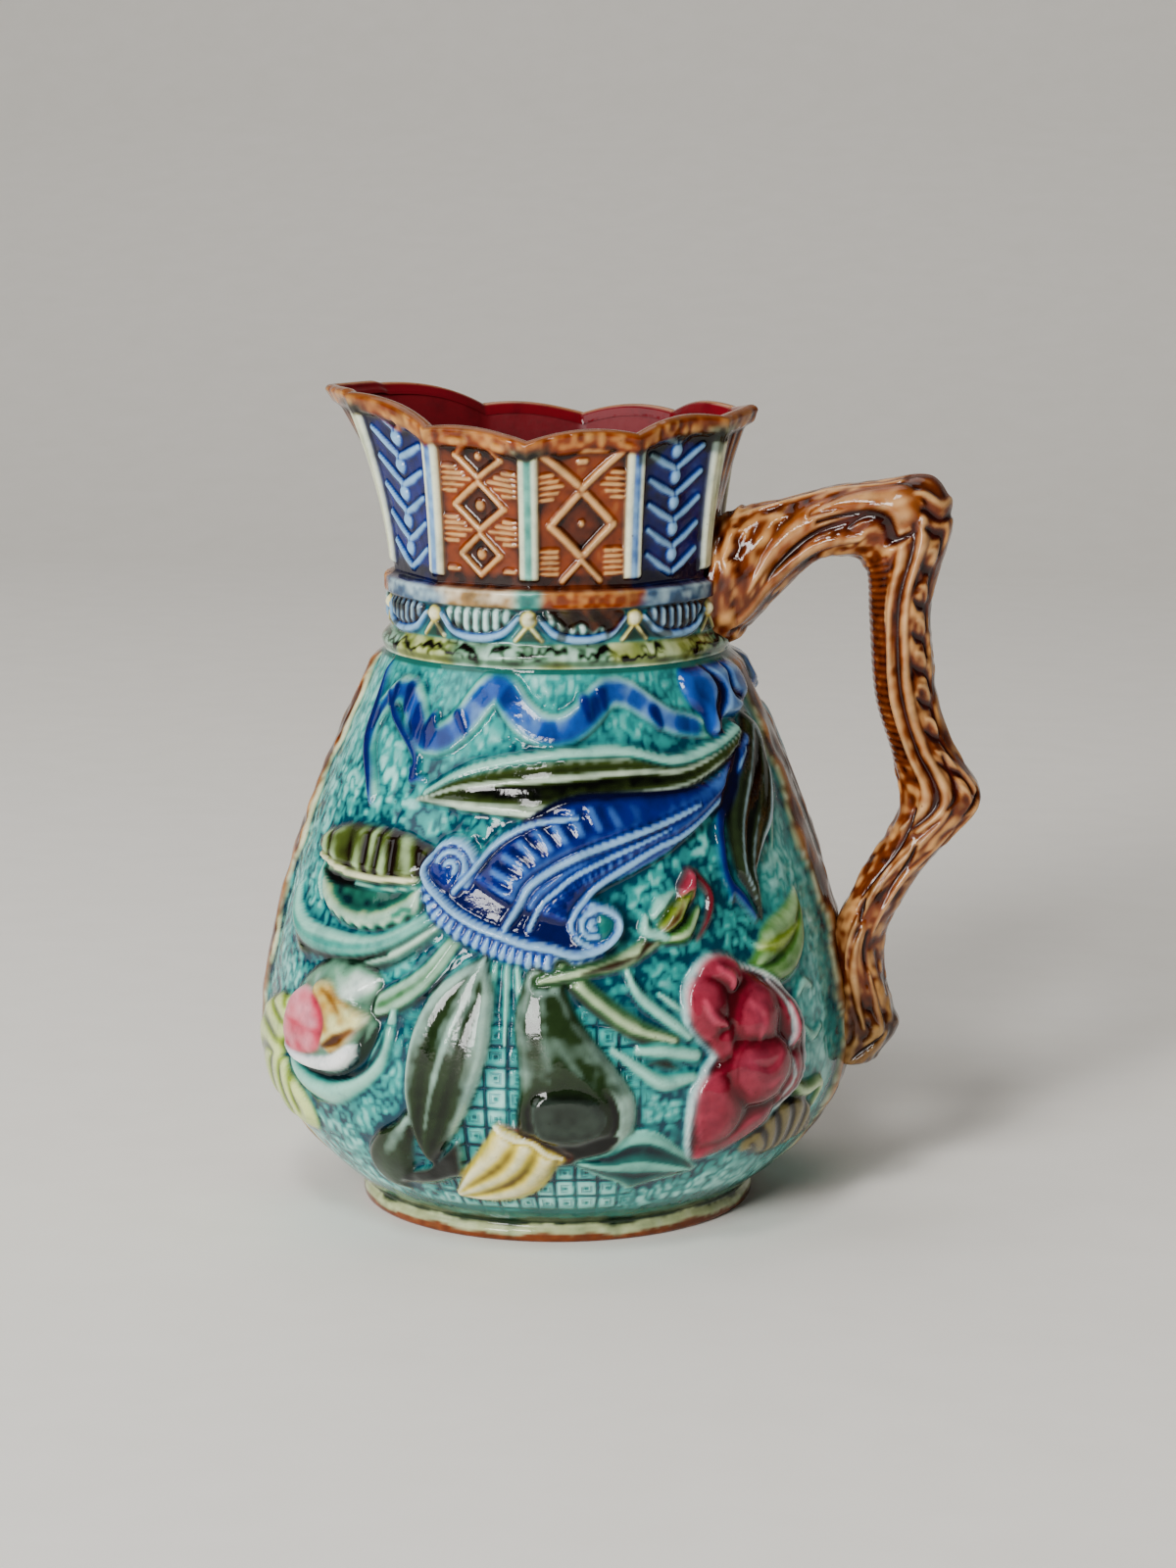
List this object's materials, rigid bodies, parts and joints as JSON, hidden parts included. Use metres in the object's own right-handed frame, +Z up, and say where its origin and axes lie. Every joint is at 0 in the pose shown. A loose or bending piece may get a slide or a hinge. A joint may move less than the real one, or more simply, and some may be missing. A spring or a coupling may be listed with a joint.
{
  "type": "majolica pitcher",
  "caption": "Pear-shaped earthenware pitcher with a horn of plenty in relief, a ten-sided panelled neck with a pouring spout, and a gnarled branch handle.",
  "frame": {"origin": "on the ground, at the centre of the outline seen from above, which is midway between the spout's tip and the handle's elbow; the round body's axis stands 14.6 mm towards the spout", "axes": "+Z up through the mouth; -X towards the spout, +X towards the handle; -Y out of the face shown"},
  "size_m": [0.1708, 0.1436, 0.1928],
  "materials": {
    "glazed_earthenware": "high-gloss lead glaze in turquoise, cobalt, crimson, olive, cream and brown"
  },
  "bodies": {
    "root": {"pitcher": "glazed_earthenware"}
  },
  "joints": []
}
